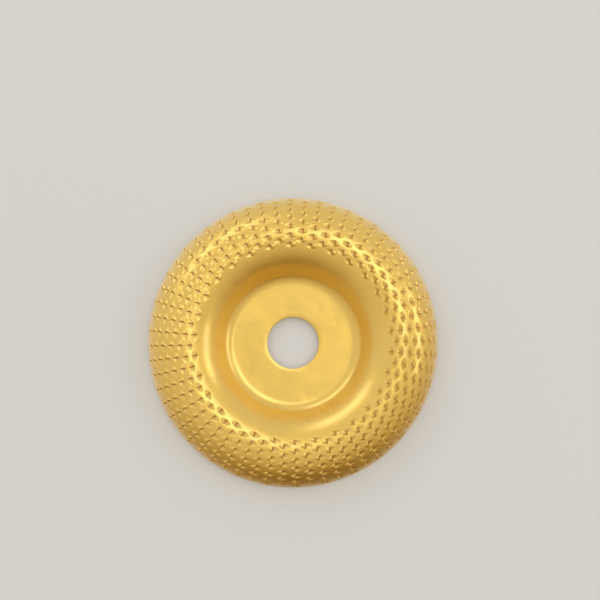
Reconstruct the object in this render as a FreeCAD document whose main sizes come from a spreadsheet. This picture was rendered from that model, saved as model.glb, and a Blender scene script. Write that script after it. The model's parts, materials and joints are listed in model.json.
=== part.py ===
import FreeCAD, Part
import math
import os

import Sketcher
from FreeCAD import Vector

# Angle grinder carving disc: one dished plate of pressed steel with a bore at its centre, and rings of
# rasp teeth standing on the curved face that meets the wood.
#
# Millimetres. The origin is on the bore's axis, in the hub's back face, which sits on the grinder's
# flange. +Z runs along the bore, out of the toothed working side. Seen from that side the disc turns
# counter-clockwise, so every tooth's cutting face looks that way round.
#
# The section, from the axis outwards: a flat hub, a fillet, a straight wall that climbs to the crown,
# the rounded crown, and a flank that falls to the rim. Teeth are placed along the crown's two arcs, by
# their distance from its highest point.

DRIVING_SIZES = {
    "disc_diameter": 125,
    "bore_diameter": 22.23,
    "sheet_thickness": 2,
    "crown_diameter": 93,
    "crown_height": 13.2,
    "inner_arc": 18,
    "outer_arc": 15.8,
    "wall_angle": 44,
    "hub_fillet": 6,
    "rim_drop": 0.9,
    "first_ring_arc": -4.14,
    "ring_pitch": 2,
    "teeth_per_ring": 30,
    "first_tooth_angle": 19,
    "seam_angle": 4.5,
    "tooth_length": 4.6,
    "tooth_face_radius": 1.3,
    "tooth_back_radius": 0.1,
    "tooth_sink": 0.4,
    "pocket_length": 4.25,
    "pocket_radius": 1.375,
    "pocket_rise": 0.825,
}
RING_COUNT = 13

START, END, CENTRE = 1, 2, 3
ORIGIN, X_AXIS = -1, -1


def make_sheet(doc):
    """Put the driving sizes in a spreadsheet, one named cell each."""
    sheet = doc.addObject("Spreadsheet::Sheet", "sheet")
    for row, (name, value) in enumerate(DRIVING_SIZES.items(), start=1):
        sheet.set(f"A{row}", name)
        sheet.set(f"B{row}", str(value))
        sheet.setAlias(f"B{row}", name)
    doc.recompute()
    return sheet


def origin_part(body, role):
    """The body's own origin plane or axis with this role."""
    return next(part for part in body.Origin.OriginFeatures if part.Role == role)


def bound(sketch, constraint, expression):
    """Add a constraint whose value follows an expression of the sheet's cells."""
    index = sketch.addConstraint(constraint)
    sketch.setExpression(f"Constraints[{index}]", expression)


def flank_turn(sheet):
    """The angle, at the outer arc's centre, where the flank leaves the arc for the rim's edge."""
    across = (sheet.disc_diameter - sheet.crown_diameter) / 2
    up = sheet.outer_arc - sheet.crown_height - sheet.rim_drop
    return math.atan2(up, across) + math.acos(sheet.outer_arc / math.hypot(across, up))


def add_side(sketch, sheet, depth, depth_name):
    """Draw one side of the sheet metal, from the bore to the rim, and return its six edges."""
    wall = math.radians(sheet.wall_angle)
    turn = flank_turn(sheet)
    hub_level = sheet.sheet_thickness - depth
    fillet = sheet.hub_fillet + depth
    inner = sheet.inner_arc - depth
    outer = sheet.outer_arc - depth
    crown = Vector(sheet.crown_diameter / 2, sheet.crown_height - depth, 0)
    inner_centre = crown - Vector(0, inner, 0)
    outer_centre = crown - Vector(0, outer, 0)
    wall_top = inner_centre + Vector(-inner * math.sin(wall), inner * math.cos(wall), 0)
    wall_foot_height = hub_level + fillet * (1 - math.cos(wall))
    wall_run = (wall_top.y - wall_foot_height) / math.tan(wall)
    wall_foot = Vector(wall_top.x - wall_run, wall_foot_height, 0)
    fillet_centre = Vector(wall_foot.x - fillet * math.sin(wall), hub_level + fillet, 0)
    flank_top = outer_centre + Vector(outer * math.cos(turn), outer * math.sin(turn), 0)
    flank_run = (flank_top.y + sheet.rim_drop) / math.cos(turn)
    flank_foot = flank_top + Vector(flank_run * math.sin(turn), -flank_run * math.cos(turn), 0)

    def arc(centre, radius, start, end):
        return Part.ArcOfCircle(Part.Circle(centre, Vector(0, 0, 1), radius), start, end)

    quarter = math.pi / 2
    edges = sketch.addGeometry([
        Part.LineSegment(Vector(sheet.bore_diameter / 2, hub_level, 0), Vector(fillet_centre.x, hub_level, 0)),
        arc(fillet_centre, fillet, -quarter, wall - quarter),
        Part.LineSegment(wall_foot, wall_top),
        arc(inner_centre, inner, quarter, quarter + wall),
        arc(outer_centre, outer, turn, quarter),
        Part.LineSegment(flank_top, flank_foot),
    ])
    hub_line, fillet_arc, wall_line, inner_arc, outer_arc, flank_line = edges
    sketch.addConstraint([
        Sketcher.Constraint("Horizontal", hub_line),
        Sketcher.Constraint("Tangent", hub_line, END, fillet_arc, START),
        Sketcher.Constraint("Tangent", fillet_arc, END, wall_line, START),
        Sketcher.Constraint("Tangent", wall_line, END, inner_arc, END),
        Sketcher.Constraint("Tangent", inner_arc, START, outer_arc, END),
        Sketcher.Constraint("Tangent", outer_arc, START, flank_line, START),
        Sketcher.Constraint("Vertical", inner_arc, CENTRE, inner_arc, START),
    ])
    bound(sketch, Sketcher.Constraint("Radius", fillet_arc, fillet), f"sheet.hub_fillet + {depth_name}")
    bound(sketch, Sketcher.Constraint("Radius", inner_arc, inner), f"sheet.inner_arc - {depth_name}")
    bound(sketch, Sketcher.Constraint("Radius", outer_arc, outer), f"sheet.outer_arc - {depth_name}")
    bound(sketch, Sketcher.Constraint("DistanceX", ORIGIN, START, inner_arc, START, crown.x),
          "sheet.crown_diameter / 2")
    bound(sketch, Sketcher.Constraint("DistanceY", ORIGIN, START, inner_arc, START, crown.y),
          f"sheet.crown_height - {depth_name}")
    return edges


def draw_section(body, sheet):
    """Draw the plate's section in the XZ plane: its two sides, closed at the bore and at the rim."""
    sketch = body.newObject("Sketcher::SketchObject", "section")
    sketch.AttachmentSupport = [(origin_part(body, "XZ_Plane"), "")]
    sketch.MapMode = "FlatFace"
    front = add_side(sketch, sheet, 0, "0")
    back = add_side(sketch, sheet, sheet.sheet_thickness, "sheet.sheet_thickness")
    front_hub, front_wall, front_flank = front[0], front[2], front[5]
    back_hub, back_wall, back_flank = back[0], back[2], back[5]
    bore_line, rim_line = sketch.addGeometry([
        Part.LineSegment(sketch.getPoint(back_hub, START), sketch.getPoint(front_hub, START)),
        Part.LineSegment(sketch.getPoint(front_flank, END), sketch.getPoint(back_flank, END)),
    ])
    sketch.addConstraint([
        Sketcher.Constraint("Coincident", bore_line, START, back_hub, START),
        Sketcher.Constraint("Coincident", bore_line, END, front_hub, START),
        Sketcher.Constraint("Coincident", rim_line, START, front_flank, END),
        Sketcher.Constraint("Coincident", rim_line, END, back_flank, END),
        Sketcher.Constraint("Vertical", bore_line),
        Sketcher.Constraint("Horizontal", rim_line),
        Sketcher.Constraint("Parallel", front_wall, back_wall),
        Sketcher.Constraint("Parallel", front_flank, back_flank),
        Sketcher.Constraint("PointOnObject", back_hub, START, X_AXIS),
    ])
    bound(sketch, Sketcher.Constraint("Angle", front_wall, math.radians(sheet.wall_angle)),
          "sheet.wall_angle * 1deg")
    bound(sketch, Sketcher.Constraint("DistanceX", ORIGIN, START, bore_line, START, sheet.bore_diameter / 2),
          "sheet.bore_diameter / 2")
    bound(sketch, Sketcher.Constraint("DistanceY", bore_line, START, bore_line, END, sheet.sheet_thickness),
          "sheet.sheet_thickness")
    bound(sketch, Sketcher.Constraint("DistanceX", ORIGIN, START, rim_line, START, sheet.disc_diameter / 2),
          "sheet.disc_diameter / 2")
    bound(sketch, Sketcher.Constraint("DistanceY", rim_line, START, ORIGIN, START, sheet.rim_drop),
          "sheet.rim_drop")
    return sketch


def make_blank(doc, sheet):
    """The plate before its teeth: the section turned about the bore's axis.

    The turned faces' seam is moved to lie between two columns of teeth.
    """
    body = doc.addObject("PartDesign::Body", "plate_blank")
    sketch = draw_section(body, sheet)
    turned = body.newObject("PartDesign::Revolution", "turned_plate")
    turned.Profile = sketch
    turned.ReferenceAxis = (sketch, ["V_Axis"])
    turned.Angle = 360
    sketch.Visibility = False
    seam_turn = "rotation(vector(0; 0; 1); sheet.seam_angle * 1deg)"
    body.setExpression("Placement", f"placement(vector(0; 0; 0); {seam_turn})")
    doc.recompute()
    return body


def ring_stand(ring):
    """The expression of the placement on the plate's face where a ring's first tooth stands.

    Its X axis runs down the face towards the rim, its Y axis the way the disc turns, and its Z axis
    straight out of the face. Odd and even rings are half a tooth spacing apart.
    """
    along = f"(sheet.first_ring_arc + {ring} * sheet.ring_pitch)"
    bend = f"({along} > 0 ? sheet.outer_arc : sheet.inner_arc)"
    tilt = f"({along} / {bend} * 180deg / pi)"
    across = f"sheet.crown_diameter / 2 + {bend} * sin({tilt})"
    height = f"sheet.crown_height - {bend} * (1 - cos({tilt}))"
    angle = f"(sheet.first_tooth_angle + {ring % 2} * 180 / sheet.teeth_per_ring) * 1deg"
    turn = f"placement(vector(0; 0; 0); rotation(vector(0; 0; 1); {angle}))"
    return f"{turn} * placement(vector({across}; 0; {height}); rotation(vector(0; 1; 0); {tilt}))"


def lay_cone(cone, ring, back, out):
    """Lay a cone along the plate's face, its axis pointing the way the disc turns."""
    laid = f"placement(vector(0; -{back}; {out}); rotation(vector(0; 1; 1); 180deg))"
    cone.setExpression("Placement", f"{ring_stand(ring)} * {laid}")


def repeat_round_disc(body, name):
    """Add an even pattern round the disc's axis to a body, as many times as a ring has teeth."""
    pattern = body.newObject("PartDesign::PolarPattern", name)
    pattern.Axis = (origin_part(body, "Z_Axis"), [""])
    pattern.Angle = 360
    pattern.setExpression("Occurrences", "sheet.teeth_per_ring")
    body.Tip = pattern
    return pattern


def cut(doc, name, base, tool):
    """What is left of base once tool is taken away."""
    result = doc.addObject("Part::Cut", name)
    result.Base = base
    result.Tool = tool
    return result


def make_tooth_ring(doc, blank, ring):
    """A ring of teeth: half cones lying on the plate, each a ramp that ends in its cutting face."""
    number = f"{ring + 1:02d}"
    cone = doc.addObject("Part::Cone", f"tooth_cone_{number}")
    cone.setExpression("Radius1", "sheet.tooth_back_radius")
    cone.setExpression("Radius2", "sheet.tooth_face_radius")
    cone.setExpression("Height", "sheet.tooth_length")
    cone.Angle = 180
    lay_cone(cone, ring, "sheet.tooth_length", "-sheet.tooth_sink")
    body = doc.addObject("PartDesign::Body", f"tooth_ring_{number}")
    body.BaseFeature = cut(doc, f"first_tooth_{number}", cone, blank)
    doc.recompute()
    pattern = repeat_round_disc(body, f"tooth_pattern_{number}")
    pattern.TransformMode = "Whole shape"
    return body


def make_pocket_cones(doc, ring):
    """A ring of cones that scoop the pocket in front of each tooth, deepest at the tooth's face."""
    number = f"{ring + 1:02d}"
    body = doc.addObject("PartDesign::Body", f"pocket_cones_{number}")
    cone = body.newObject("PartDesign::AdditiveCone", f"pocket_cone_{number}")
    cone.setExpression("Radius1", "sheet.pocket_radius")
    cone.Radius2 = 0
    cone.setExpression("Height", "sheet.pocket_length")
    cone.Angle = 360
    lay_cone(cone, ring, "0", "sheet.pocket_rise")
    pattern = repeat_round_disc(body, f"pocket_pattern_{number}")
    pattern.Originals = [cone]
    return body


def count_flat_faces(shape):
    return sum(isinstance(face.Surface, Part.Plane) for face in shape.Faces)


def check(doc, sheet, blank, plate, rings):
    """Stop if an object failed, a sub-part isn't a valid shape, or a tooth or a pocket is missing."""
    for item in doc.Objects:
        if "Invalid" in item.State or "Error" in item.State:
            raise RuntimeError(f"{item.Name} failed: {item.State}")
    for item in [plate, *rings]:
        if item.Shape.isNull() or not item.Shape.isValid():
            raise RuntimeError(f"{item.Label} isn't a valid shape")
    for item in rings:
        if len(item.Shape.Solids) != sheet.teeth_per_ring:
            raise RuntimeError(f"{item.Label} has {len(item.Shape.Solids)} teeth")
    pockets = count_flat_faces(plate.Shape) - count_flat_faces(blank.Shape)
    if len(plate.Shape.Solids) != 1 or pockets != RING_COUNT * sheet.teeth_per_ring:
        raise RuntimeError(f"{plate.Label} has {pockets} pockets")


def main():
    doc = FreeCAD.newDocument("carving_disc")
    sheet = make_sheet(doc)
    blank = make_blank(doc, sheet)

    rings = [make_tooth_ring(doc, blank, ring) for ring in range(RING_COUNT)]
    pockets = doc.addObject("Part::Compound", "pockets")
    pockets.Links = [make_pocket_cones(doc, ring) for ring in range(RING_COUNT)]
    plate = cut(doc, "disc_body", blank, pockets)
    for item in [plate, *rings]:
        item.Placement = FreeCAD.Placement()
    doc.recompute()
    check(doc, sheet, blank, plate, rings)

    os.makedirs("parts", exist_ok=True)
    for item in [plate, *rings]:
        item.Shape.exportStep(f"parts/{item.Label}.step")
        print(f"{item.Label}: {len(item.Shape.Solids)} solids, {item.Shape.Volume:.1f} mm3")


main()
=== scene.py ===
import json
import math

import bpy
import numpy as np
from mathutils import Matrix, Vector


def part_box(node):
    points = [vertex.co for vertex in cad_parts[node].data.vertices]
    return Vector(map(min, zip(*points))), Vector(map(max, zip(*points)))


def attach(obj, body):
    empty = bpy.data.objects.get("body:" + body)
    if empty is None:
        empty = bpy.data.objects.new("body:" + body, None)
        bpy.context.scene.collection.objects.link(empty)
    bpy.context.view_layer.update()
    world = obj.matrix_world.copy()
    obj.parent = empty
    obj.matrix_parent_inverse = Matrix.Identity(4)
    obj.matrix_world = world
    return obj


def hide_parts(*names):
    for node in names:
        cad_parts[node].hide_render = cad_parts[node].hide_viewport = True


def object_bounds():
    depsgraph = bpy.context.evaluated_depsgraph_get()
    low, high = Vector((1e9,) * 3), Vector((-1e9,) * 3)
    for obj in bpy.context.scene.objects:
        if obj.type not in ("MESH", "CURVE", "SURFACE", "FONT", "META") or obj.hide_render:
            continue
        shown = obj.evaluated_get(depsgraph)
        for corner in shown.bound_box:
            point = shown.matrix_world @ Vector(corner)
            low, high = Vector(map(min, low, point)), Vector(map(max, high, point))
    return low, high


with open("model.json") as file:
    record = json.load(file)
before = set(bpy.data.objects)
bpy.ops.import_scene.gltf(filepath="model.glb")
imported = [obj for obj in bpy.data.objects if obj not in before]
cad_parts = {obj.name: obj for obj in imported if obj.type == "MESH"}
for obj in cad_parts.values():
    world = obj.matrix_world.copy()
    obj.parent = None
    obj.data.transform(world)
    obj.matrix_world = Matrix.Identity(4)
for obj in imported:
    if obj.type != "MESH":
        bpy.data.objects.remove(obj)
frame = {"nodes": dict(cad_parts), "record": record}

# The carving disc's looks: a gold plate with a pocket punched in front of every tooth, and one piece
# for each ring of teeth. Everything is worked out along the plate's section, as a distance from the
# crown's highest point: less than 0 towards the bore, more than 0 towards the rim.

MM = 0.001
CAD_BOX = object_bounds()

# ---------------------------------------------------------------- sizes

# What the frame states is read from it. The rest repeats the CAD plate's own driving sizes, and the
# shape of a punched tooth, which the CAD stands in for with half a cone.
mounts = {mount["name"]: mount for mount in frame["record"]["mounts"]}
plate_low, plate_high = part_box("disc_body")
RING_NODES = sorted(name for name in frame["nodes"] if name.startswith("tooth_ring_"))

BORE_RADIUS = mounts["spindle_bore"]["dims"]["r_mm"] * MM
THICKNESS = mounts["spindle_bore"]["dims"]["length_mm"] * MM
RIM_RADIUS = plate_high.x
RIM_LEVEL = plate_low.z
CROWN_LEVEL = plate_high.z
CROWN_RADIUS = 46.5 * MM
INNER_ARC = 18 * MM
OUTER_ARC = 15.8 * MM
WALL_ANGLE = math.radians(44)
HUB_FILLET = 6 * MM
EDGE_ROUND = 0.25 * MM

TEETH = 30
FIRST_RING = -4.14 * MM
RING_PITCH = 2 * MM
FIRST_TOOTH = math.radians(7)
COLUMNS = 2 * TEETH
COLUMN_ANGLE = math.tau / COLUMNS

TOOTH_HEIGHT = 0.64 * MM
TOOTH_HALF_WIDTH = 1.38 * MM
TOOTH_LENGTH = 2.4 * MM
LIP_CURL = 0.75 * MM
LIP_SET_BACK = 0.42 * MM
FACE_FOOT = 0.16 * MM
LOWEST_TOOTH = 0.86
LIP_STRAY = 0.06 * MM
POCKET_DEPTH = 0.68 * MM
POCKET_LENGTH = 2.7 * MM
POCKET_HALF_WIDTH = 1.22 * MM
LEAST_WIDTH = 1e-6 * MM
SHARP_ANGLE = math.radians(42)


# ---------------------------------------------------------------- the plate's section

def flank_start():
    """The distance along the face from the crown to where the outer arc meets the straight flank."""
    across = RIM_RADIUS - CROWN_RADIUS
    up = RIM_LEVEL - (CROWN_LEVEL - OUTER_ARC)
    turn = math.atan2(up, across) + math.acos(OUTER_ARC / math.hypot(across, up))
    return OUTER_ARC * (math.pi / 2 - turn)


FLANK_START = flank_start()
WALL_START = -INNER_ARC * WALL_ANGLE
FILLET_RISE = HUB_FILLET * (1 - math.cos(WALL_ANGLE))


def face(along, depth=0.0):
    """Radius, height and tilt of the section at these distances from the crown, depth under the face."""
    along = np.asarray(along, float)
    bend = np.where(along < 0, INNER_ARC, OUTER_ARC)
    on_arc = np.clip(along, WALL_START, FLANK_START)
    past_arc = along - on_arc
    tilt = on_arc / bend
    radius = CROWN_RADIUS + (bend - depth) * np.sin(tilt) + past_arc * np.cos(tilt)
    height = CROWN_LEVEL - bend + (bend - depth) * np.cos(tilt) - past_arc * np.sin(tilt)
    return radius, height, tilt


def wall_foot():
    """The distance along the face from the crown to where the wall meets the hub's fillet."""
    top_height = float(face(WALL_START)[1])
    return WALL_START - (top_height - THICKNESS - FILLET_RISE) / math.sin(WALL_ANGLE)


def rim_end(depth):
    """The distance along the face to where the flank ends on the rim's level, depth under the face."""
    _, height, tilt = face(FLANK_START, depth)
    return FLANK_START + float((height - RIM_LEVEL) / math.sin(float(tilt)))


WALL_FOOT = wall_foot()


def smooth(low, high, x):
    """0 below low, 1 above high, and a smooth step between them."""
    t = np.clip((x - low) / (high - low), 0, 1)
    return t * t * (3 - 2 * t)


# ---------------------------------------------------------------- teeth and pockets

def lip_curl(across):
    """How far forward a cutting lip has curled, this far across from its middle. It repeats every
    second ring, so that lines of the plate's mesh can follow it down a whole column of teeth."""
    return LIP_CURL * (1 - np.cos(math.pi * across / RING_PITCH)) / 2


def pocket_depth(ahead, across):
    """Depth of a pocket this far ahead of its tooth's lip, and this far across from its middle."""
    room = np.clip(1 - ahead / POCKET_LENGTH, 0, 1)
    half = POCKET_HALF_WIDTH * np.sqrt(room) + LEAST_WIDTH
    share = np.clip(1 - (across / half) ** 2, 0, 1)
    return POCKET_DEPTH * room * share


def tooth_numbers(name):
    """Small differences between punched teeth: a height and a lip's offset for each, the same every
    run."""
    random = np.random.RandomState(int(name[-2:]))
    return random.uniform(LOWEST_TOOTH, 1.0, TEETH), random.uniform(-LIP_STRAY, LIP_STRAY, TEETH)


# ---------------------------------------------------------------- meshes

def points(radius, height, angle):
    """Corners in x, y, z from their radius, height and angle round the bore's axis."""
    radius, height, angle = np.broadcast_arrays(radius, height, angle)
    return np.stack([radius * np.cos(angle), radius * np.sin(angle), height], -1).reshape(-1, 3)


def make_piece(name, corners, faces, node, marks=None):
    """A smooth piece on the disc's one body that stands for a CAD node. marks are numbers per corner."""
    mesh = bpy.data.meshes.new(name)
    mesh.from_pydata(corners.tolist(), [], faces)
    mesh.validate()
    mesh.update()
    mesh.shade_smooth()
    mesh.set_sharp_from_angle(angle=SHARP_ANGLE)
    for label, values in (marks or {}).items():
        mark = mesh.attributes.new(label, "FLOAT", "POINT")
        mark.data.foreach_set("value", np.asarray(values, np.float32))
    piece = bpy.data.objects.new(name, mesh)
    bpy.context.scene.collection.objects.link(piece)
    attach(piece, "root")
    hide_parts(node)
    return piece


def rounded_edge(corner, before, after, steps=3):
    """Section points round an edge, from the point before it to the point after it."""
    corner, before, after = (np.array(point, float) for point in (corner, before, after))
    start = corner + (before - corner) / np.linalg.norm(before - corner) * EDGE_ROUND
    end = corner + (after - corner) / np.linalg.norm(after - corner) * EDGE_ROUND
    shares = np.linspace(0, 1, steps + 1)[:, None]
    return (1 - shares) ** 2 * start + 2 * shares * (1 - shares) * corner + shares ** 2 * end


def section_line(start, end, steps):
    """Section points along a straight stretch, without its two ends."""
    shares = np.linspace(0, 1, steps + 1)[1:-1, None]
    return (1 - shares) * np.array(start, float) + shares * np.array(end, float)


def section_face(start, end, steps, depth=0.0):
    """Section points along the face, or at a depth under it, with both ends."""
    radius, height, _ = face(np.linspace(start, end, steps + 1), depth)
    return np.stack([radius, height], -1)


def hub_fillet(depth, steps=8):
    """Section points of the fillet between hub and wall, from the hub outwards."""
    foot_radius = float(face(WALL_FOOT)[0])
    centre = np.array([foot_radius - HUB_FILLET * math.sin(WALL_ANGLE), THICKNESS + HUB_FILLET])
    turn = np.linspace(0, WALL_ANGLE, steps + 1)
    return centre + (HUB_FILLET + depth) * np.stack([np.sin(turn), -np.cos(turn)], -1)


# The part of the face that carries teeth has a fine mesh. Its rows run round the disc, and every
# eighth passes through a ring's middle. Its lines run across the rows: one set keeps its distances
# ahead of the lips of a column of teeth, and even ones fill the room up to the next column. Before
# the first ring and after the last, a few rows let the lines straighten out.
FINE_STEP = RING_PITCH / 8
FINE_MARGIN = 5 * FINE_STEP
FINE_LOW = FIRST_RING - FINE_MARGIN
FINE_HIGH = FIRST_RING + RING_PITCH * (len(RING_NODES) - 1) + FINE_MARGIN
LEAD_IN = np.array([1.4, 0.9, 0.45]) * MM
LEAD_OUT = np.array([0.45, 0.9]) * MM
LINES_AHEAD = np.array([-0.3, 0.06, 0.4, 0.85, 1.4, 2.0, 2.7]) * MM
LINES_BETWEEN = 5
LINES = len(LINES_AHEAD) + LINES_BETWEEN
FINE = COLUMNS * LINES
COARSE = FINE // 4

# Painted shade: the gold in a pocket darkens from this share of its full depth downwards.
SHADE_START = 0.3


def column_across(along, column):
    """How far across from the nearest ring of this column a point is, and whether that ring exists."""
    first = FIRST_RING + RING_PITCH * (column % 2)
    pair = np.round((along - first) / (2 * RING_PITCH))
    ring = 2 * pair + column % 2
    return along - first - pair * 2 * RING_PITCH, (ring >= 0) & (ring < len(RING_NODES))


def fine_rows():
    """The toothed face's rows: how far each is along the face, and its corners' angles and depths."""
    middle = np.arange(FINE_LOW, FINE_HIGH + FINE_STEP / 2, FINE_STEP)
    along = np.concatenate([FINE_LOW - LEAD_IN, middle, middle[-1] + LEAD_OUT])
    radius, _, _ = face(along)
    near = []
    depth = np.zeros((len(along), FINE))
    for column in range(COLUMNS + 1):
        across, real = column_across(along, column)
        ahead = LINES_AHEAD[None, :] + lip_curl(across)[:, None]
        near.append(FIRST_TOOTH + column * COLUMN_ANGLE + ahead / radius[:, None])
        if column < COLUMNS:
            cut = pocket_depth(LINES_AHEAD[None, :], across[:, None]) * real[:, None]
            cut[:, 0] = 0
            depth[:, column * LINES: column * LINES + len(LINES_AHEAD)] = cut
    shares = np.arange(1, LINES_BETWEEN + 1) / (LINES_BETWEEN + 1)
    angle = np.zeros_like(depth)
    for column in range(COLUMNS):
        last, following = near[column][:, -1:], near[column + 1][:, :1]
        between = last * (1 - shares) + following * shares
        angle[:, column * LINES: (column + 1) * LINES] = np.concatenate([near[column], between], 1)
    even = FIRST_TOOTH + np.arange(FINE) * math.tau / FINE
    follow = smooth(along[0], FINE_LOW, along) * (1 - smooth(middle[-1], along[-1], along))
    return along, even + (angle - even) * follow[:, None], depth


def ring_faces(first, first_count, second, second_count):
    """Faces between a ring of corners and the next one, whose count may be a whole number of times
    more or fewer. Each ring is given by its first corner's number and its count."""
    count = min(first_count, second_count)

    def span(start, total, n):
        """One face's share of a ring: the corners from place n of count to the next, both included."""
        share = total // count
        return [start + (n * share + k) % total for k in range(share + 1)]

    return [span(second, second_count, n) + span(first, first_count, n)[::-1] for n in range(count)]


def plain_section(fine_start, fine_end):
    """The section's points on either side of the toothed face: the bore's front edge, hub, fillet and
    wall before it, and the low flank, rim, back and bore after it."""
    inner_front, inner_back = hub_fillet(0), hub_fillet(THICKNESS)
    bore_front, bore_back = (BORE_RADIUS, THICKNESS), (BORE_RADIUS, 0)
    rim_outer = (RIM_RADIUS, RIM_LEVEL)
    flank_low = section_face(fine_end, rim_end(0), steps=3)
    flank_back = section_face(rim_end(THICKNESS), FLANK_START, steps=4, depth=THICKNESS)
    rim_inner = flank_back[0]
    before = np.concatenate([
        rounded_edge(bore_front, bore_back, inner_front[0]),
        section_line(bore_front, inner_front[0], steps=7),
        inner_front,
        section_face(WALL_FOOT, WALL_START, steps=6)[1:-1],
        section_face(WALL_START, fine_start, steps=8)[:-1],
    ])
    after = np.concatenate([
        flank_low[1:-1],
        rounded_edge(rim_outer, flank_low[0], rim_inner),
        rounded_edge(rim_inner, rim_outer, flank_back[-1]),
        flank_back[1:-1],
        section_face(FLANK_START, 0, steps=22, depth=THICKNESS)[:-1],
        section_face(0, WALL_START, steps=14, depth=THICKNESS),
        section_face(WALL_START, WALL_FOOT, steps=5, depth=THICKNESS)[1:-1],
        inner_back[::-1],
        section_line(inner_back[0], bore_back, steps=6),
        rounded_edge(bore_back, inner_back[0], bore_front),
        section_line(bore_back, bore_front, steps=3),
    ])
    return before, after


def make_disc_body():
    """The plate: its toothed face finely meshed, the rest a turned section."""
    along, angle, depth = fine_rows()
    before, after = plain_section(along[0], along[-1])
    coarse_angle = FIRST_TOOTH + np.arange(COARSE) * math.tau / COARSE
    fine_radius, fine_height, _ = face(along[:, None], depth)
    corners = np.concatenate([
        points(before[:, :1], before[:, 1:], coarse_angle),
        points(fine_radius, fine_height, angle),
        points(after[:, :1], after[:, 1:], coarse_angle),
    ])
    counts = [COARSE] * len(before) + [FINE] * len(along) + [COARSE] * len(after)
    rings = list(zip(np.cumsum([0, *counts[:-1]]).tolist(), counts))
    faces = []
    for ring, following in zip(rings, rings[1:] + rings[:1]):
        faces += ring_faces(*ring, *following)
    # Painted shade: the gold darkens where a pocket is deep.
    painted_shade = np.zeros(len(corners))
    first_fine = len(before) * COARSE
    painted_shade[first_fine: first_fine + depth.size] = smooth(SHADE_START, 1, depth / POCKET_DEPTH).ravel()
    return make_piece("disc_body_visual", corners, faces, "disc_body", {"painted_shade": painted_shade})


# A tooth's mesh is a row of loops side by side. Each loop climbs the ramp from the heel to the lip,
# drops down the cutting face into the pocket, and comes back inside the plate. Across the tooth, SIDE
# goes from -1 to 1, and FULLNESS is 1 at the middle loop and 0 at the first and the last. The heel and
# the face's foot are tucked a little under the plate's surface, so that no gap shows.
RAMP_SHARES = np.array([0, 0.12, 0.24, 0.36, 0.48, 0.6, 0.71, 0.81, 0.9, 0.96, 1])
DROP_SHARES = np.array([0.12, 0.35, 0.6, 0.82, 1])
UNDER_SHARES = (0.15, 0.6, 0.95)
UNDER_DEPTHS = (0.75 * MM, 0.5 * MM, 0.2 * MM)
TOOTH_LOOPS = 13
LOOP = len(RAMP_SHARES) + len(DROP_SHARES) + len(UNDER_SHARES)
LIP_PLACE = len(RAMP_SHARES) - 1
HEEL_TUCK = 0.02 * MM
FOOT_TUCK = 0.08 * MM
SIDE = np.sin(np.linspace(-1, 1, TOOTH_LOOPS) * math.pi / 2)
FULLNESS = 1 - SIDE ** 2
HEEL_WIDTH = 0.45
UNDER_TAPER = 0.5

# Powers that bend the tooth's outlines: how it widens from the heel, how domed it is at each end of
# the ramp, how the ramp rises, and how the cutting face is hollowed.
WIDENING = 0.8
HEEL_DOME = 1.8
LIP_DOME = 1.1
RAMP_RISE = 1.3
FACE_HOLLOW = 1.5


def tooth_loops(height, lean):
    """One tooth's loops: how far its corners are ahead of its place, across it, and up off the face."""
    across_lip = SIDE * TOOTH_HALF_WIDTH
    curl = lip_curl(across_lip)
    lip = curl - LIP_SET_BACK + lean * FULLNESS
    foot = curl + FACE_FOOT
    ahead, across, up = [], [], []
    for share in RAMP_SHARES:
        ahead.append(-TOOTH_LENGTH * (1 - share) + lip * share)
        across.append(across_lip * (HEEL_WIDTH + (1 - HEEL_WIDTH) * share ** WIDENING))
        dome = FULLNESS ** (HEEL_DOME + (LIP_DOME - HEEL_DOME) * share)
        up.append((height + HEEL_TUCK) * share ** RAMP_RISE * dome - HEEL_TUCK)
    crest = up[-1]
    deepest_line = LINES_AHEAD[1]
    floor = -pocket_depth(deepest_line, across_lip) - FOOT_TUCK
    for share in DROP_SHARES:
        ahead.append(lip + (foot - lip) * share ** FACE_HOLLOW)
        across.append(across_lip)
        up.append(crest * (1 - share) + floor * share)
    for share, depth in zip(UNDER_SHARES, UNDER_DEPTHS):
        ahead.append(np.full(TOOTH_LOOPS, -TOOTH_LENGTH * share))
        across.append(across_lip * (1 - UNDER_TAPER * share))
        up.append(np.full(TOOTH_LOOPS, -depth))
    return np.stack(ahead, 1), np.stack(across, 1), np.stack(up, 1)


def make_tooth_ring(name):
    """One ring of teeth, each a closed shape that starts inside the plate."""
    ring = int(name[-2:]) - 1
    middle = FIRST_RING + ring * RING_PITCH
    # Painted highlight: paler gold along each lip's crest.
    painted_highlight = np.zeros((TOOTH_LOOPS, LOOP))
    painted_highlight[:, LIP_PLACE] = np.sqrt(FULLNESS)
    # Painted shade: darker gold down each cutting face.
    painted_face_shade = np.zeros((TOOTH_LOOPS, LOOP))
    painted_face_shade[:, LIP_PLACE + 1: LIP_PLACE + 1 + len(DROP_SHARES)] = np.sqrt(DROP_SHARES)
    corners, faces = [], []
    for tooth, (height, lean) in enumerate(zip(*tooth_numbers(name))):
        angle = FIRST_TOOTH + (ring % 2 + 2 * tooth) * COLUMN_ANGLE
        ahead, across, up = tooth_loops(TOOTH_HEIGHT * height, lean)
        base_radius, _, _ = face(middle + across)
        radius, level, _ = face(middle + across, -up)
        corners.append(points(radius, level, angle + ahead / base_radius))
        first = tooth * TOOTH_LOOPS * LOOP
        last = first + (TOOTH_LOOPS - 1) * LOOP
        for here in range(first, last, LOOP):
            faces += ring_faces(here, LOOP, here + LOOP, LOOP)
        faces.append(list(range(first, first + LOOP)))
        faces.append(list(range(last, last + LOOP))[::-1])
    marks = {"painted_highlight": np.tile(painted_highlight.ravel(), TEETH), "painted_shade": np.tile(painted_face_shade.ravel(), TEETH)}
    return make_piece(name + "_visual", np.concatenate(corners), faces, name, marks)


# ---------------------------------------------------------------- finish

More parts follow.
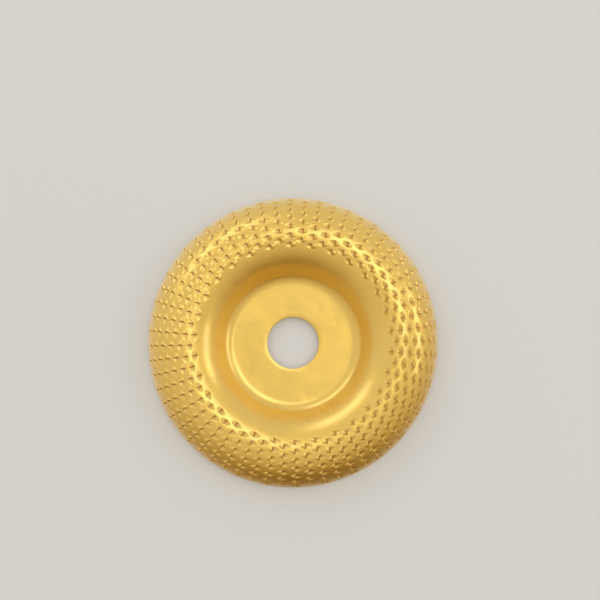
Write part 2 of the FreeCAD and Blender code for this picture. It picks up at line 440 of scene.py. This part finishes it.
def add_node(tree, kind, inputs=None, **settings):
    """A shader node with these settings, its inputs set to numbers or joined to other nodes' outputs."""
    node = tree.nodes.new(kind)
    for key, value in settings.items():
        setattr(node, key, value)
    for key, value in (inputs or {}).items():
        if isinstance(value, bpy.types.NodeSocket):
            tree.links.new(value, node.inputs[key])
        else:
            node.inputs[key].default_value = value
    return node


def add_ramp(tree, value, stops):
    """A colour ramp through these (place, colour) stops."""
    node = add_node(tree, "ShaderNodeValToRGB", {"Fac": value})
    node.color_ramp.elements[0].position, node.color_ramp.elements[0].color = stops[0]
    node.color_ramp.elements[1].position, node.color_ramp.elements[1].color = stops[-1]
    for place, colour in stops[1:-1]:
        node.color_ramp.elements.new(place).color = colour
    return node.outputs["Color"]


GOLD_TONES = [
    (0.3, (0.75, 0.47, 0.036, 1)),
    (0.55, (0.77, 0.49, 0.045, 1)),
    (0.75, (0.79, 0.51, 0.056, 1)),
]
# Painted shade for deep pockets and cutting faces.
PAINTED_SHADE_GOLD = (0.54, 0.30, 0.028, 1)
# Painted highlight for the cutting lips' crests.
PAINTED_HIGHLIGHT_GOLD = (0.92, 0.66, 0.19, 1)


def add_noise(tree, place, scale, detail):
    """Noise with about this many waves to the metre, and this many finer layers."""
    return add_node(tree, "ShaderNodeTexNoise", {"Vector": place, "Scale": scale, "Detail": detail})


def add_mix(tree, share, first, second):
    """The first colour, going over to the second as the share goes from 0 to 1."""
    node = add_node(tree, "ShaderNodeMix", {"Factor": share, "A": first, "B": second}, data_type="RGBA")
    return node.outputs["Result"]


def add_bump(tree, noise, strength, distance, under=None):
    """Relief from this noise, on top of the relief under it."""
    inputs = {"Height": noise.outputs["Fac"], "Strength": strength, "Distance": distance}
    if under:
        inputs["Normal"] = under.outputs["Normal"]
    return add_node(tree, "ShaderNodeBump", inputs)


def turning_lines(tree, place):
    """Fine circles round the bore's axis."""
    split = add_node(tree, "ShaderNodeSeparateXYZ", {"Vector": place})
    flat = add_node(tree, "ShaderNodeCombineXYZ", {"X": split.outputs["X"], "Y": split.outputs["Y"]})
    radius = add_node(tree, "ShaderNodeVectorMath", {0: flat.outputs[0]}, operation="LENGTH")
    turned = add_node(tree, "ShaderNodeCombineXYZ", {"X": radius.outputs["Value"], "Z": split.outputs["Z"]})
    return add_noise(tree, turned.outputs[0], scale=2600.0, detail=3.0)


def gold_steel():
    """Pressed steel under a glossy gold coat, with painted shade in the pockets and cutting faces, and a
    painted highlight on the lips.
    """
    material = bpy.data.materials.new("gold_steel")
    material.use_nodes = True
    tree = material.node_tree
    tree.nodes.clear()
    place = add_node(tree, "ShaderNodeTexCoord").outputs["Object"]
    cloud = add_noise(tree, place, scale=38.0, detail=3.0)
    grain = add_noise(tree, place, scale=1500.0, detail=4.0)
    dimple = add_noise(tree, place, scale=150.0, detail=1.0)
    lines = turning_lines(tree, place)

    # Painted shade in the pockets and on the cutting faces, and a painted highlight on the lips, are mixed
    # into the gold.
    painted_shade = add_node(tree, "ShaderNodeAttribute", attribute_name="painted_shade").outputs["Fac"]
    painted_highlight = add_node(tree, "ShaderNodeAttribute", attribute_name="painted_highlight").outputs["Fac"]
    even = add_ramp(tree, cloud.outputs["Fac"], GOLD_TONES)
    gold_with_shade = add_mix(tree, painted_shade, even, PAINTED_SHADE_GOLD)
    colour = add_mix(tree, painted_highlight, gold_with_shade, PAINTED_HIGHLIGHT_GOLD)

    rough = add_node(tree, "ShaderNodeMapRange", {"Value": dimple.outputs["Fac"], "From Min": 0.25,
                                                  "From Max": 0.75, "To Min": 0.25, "To Max": 0.35})
    relief = add_bump(tree, cloud, strength=1.0, distance=0.6 * MM)
    relief = add_bump(tree, dimple, strength=0.10, distance=0.4 * MM, under=relief)
    relief = add_bump(tree, lines, strength=0.05, distance=0.1 * MM, under=relief)
    relief = add_bump(tree, grain, strength=0.06, distance=0.1 * MM, under=relief)
    shader = add_node(tree, "ShaderNodeBsdfPrincipled", {
        "Base Color": colour,
        "Metallic": 1.0,
        "Roughness": rough.outputs["Result"],
        "Coat Weight": 1.0,
        "Coat Roughness": 0.18,
        "Coat IOR": 1.9,
        "Normal": relief.outputs["Normal"],
    })
    add_node(tree, "ShaderNodeOutputMaterial", {"Surface": shader.outputs[0]})
    return material


def floor_material():
    """A plain pale floor."""
    material = bpy.data.materials.new("pale_floor")
    material.use_nodes = True
    shader = material.node_tree.nodes["Principled BSDF"]
    shader.inputs["Base Color"].default_value = (0.68, 0.68, 0.68, 1)
    shader.inputs["Roughness"].default_value = 0.75
    return material


# ---------------------------------------------------------------- the scene

def add_floor():
    """The floor that the disc's rim lies on. The gold doesn't mirror it: the disc's rim looks out on a
    dimmer room."""
    mesh = bpy.data.meshes.new("floor")
    half = 3.0
    level = CAD_BOX[0][2]
    corners = [(x, y, level) for x, y in ((-half, -half), (half, -half), (half, half), (-half, half))]
    mesh.from_pydata(corners, [], [(0, 1, 2, 3)])
    floor = bpy.data.objects.new("floor", mesh)
    bpy.context.scene.collection.objects.link(floor)
    mesh.materials.append(floor_material())
    floor.visible_glossy = False


def add_soft_box(name, azimuth, elevation, size, glow, distance=1.5):
    """A soft box that faces the disc from this angle round it and this angle above the floor, with an
    even glow whatever its size."""
    azimuth, elevation = math.radians(azimuth), math.radians(elevation)
    across = math.cos(elevation)
    away = Vector((across * math.cos(azimuth), across * math.sin(azimuth), math.sin(elevation)))
    lamp = bpy.data.lights.new(name, "AREA")
    lamp.shape = "RECTANGLE"
    lamp.size, lamp.size_y = size
    lamp.energy = glow * math.pi * size[0] * size[1]
    box = bpy.data.objects.new(name, lamp)
    box.location = away * distance
    box.rotation_euler = away.to_track_quat("Z", "Y").to_euler()
    box.visible_camera = False
    bpy.context.scene.collection.objects.link(box)


def add_room():
    """The room's own light: pale and bright beyond the far side, warmer and dimmer round to the near
    side, and brown low down there."""
    world = bpy.data.worlds.new("room")
    world.use_nodes = True
    tree = world.node_tree
    bright_side = (-0.06, 0.95, 0.30)
    toward = add_node(tree, "ShaderNodeTexCoord").outputs["Generated"]
    facing = add_node(tree, "ShaderNodeVectorMath", {0: toward, 1: bright_side},
                      operation="DOT_PRODUCT").outputs["Value"]
    share = add_node(tree, "ShaderNodeMapRange", {"Value": facing, "From Min": -1.0, "From Max": 1.0})
    glow = add_ramp(tree, share.outputs["Result"], [
        (0.00, (0.27, 0.18, 0.09, 1)),
        (0.085, (0.42, 0.32, 0.19, 1)),
        (0.185, (0.58, 0.48, 0.33, 1)),
        (0.30, (0.73, 0.65, 0.52, 1)),
        (0.45, (0.84, 0.78, 0.68, 1)),
        (0.65, (0.88, 0.86, 0.81, 1)),
        (0.85, (0.90, 0.88, 0.84, 1)),
        (1.00, (0.90, 0.89, 0.86, 1)),
    ])
    tree.links.new(glow, tree.nodes["Background"].inputs["Color"])
    bpy.context.scene.world = world


def add_lights():
    """The room and three soft boxes: a wide one beyond the far side at the left, one at the right, both
    about 30 degrees up, and a square one high up, which draws a line of light round the crown."""
    add_soft_box("far_box", azimuth=127, elevation=29, size=(1.2, 0.5), glow=1.0)
    add_soft_box("right_box", azimuth=6, elevation=31, size=(0.9, 0.4), glow=1.2)
    add_soft_box("spark_box", azimuth=45, elevation=72, size=(0.7, 0.7), glow=1.3)
    add_room()


def add_camera():
    """Straight down on the toothed side, the disc a little below the picture's middle."""
    distance = 1.6
    picture_width = 0.259
    aim = Vector((0.003, 0.0185, 0))
    lens = bpy.data.cameras.new("camera")
    lens.sensor_width = 36
    lens.lens = lens.sensor_width * distance / picture_width
    lens.clip_end = 20
    camera = bpy.data.objects.new("camera", lens)
    camera.location = aim + Vector((0, 0, distance))
    bpy.context.scene.collection.objects.link(camera)
    bpy.context.scene.camera = camera


add_camera()
gold = gold_steel()
pieces = [make_disc_body(), *(make_tooth_ring(name) for name in RING_NODES)]
for piece in pieces:
    piece.data.materials.append(gold)
add_floor()
add_lights()
bpy.context.scene.view_settings.view_transform = "Standard"
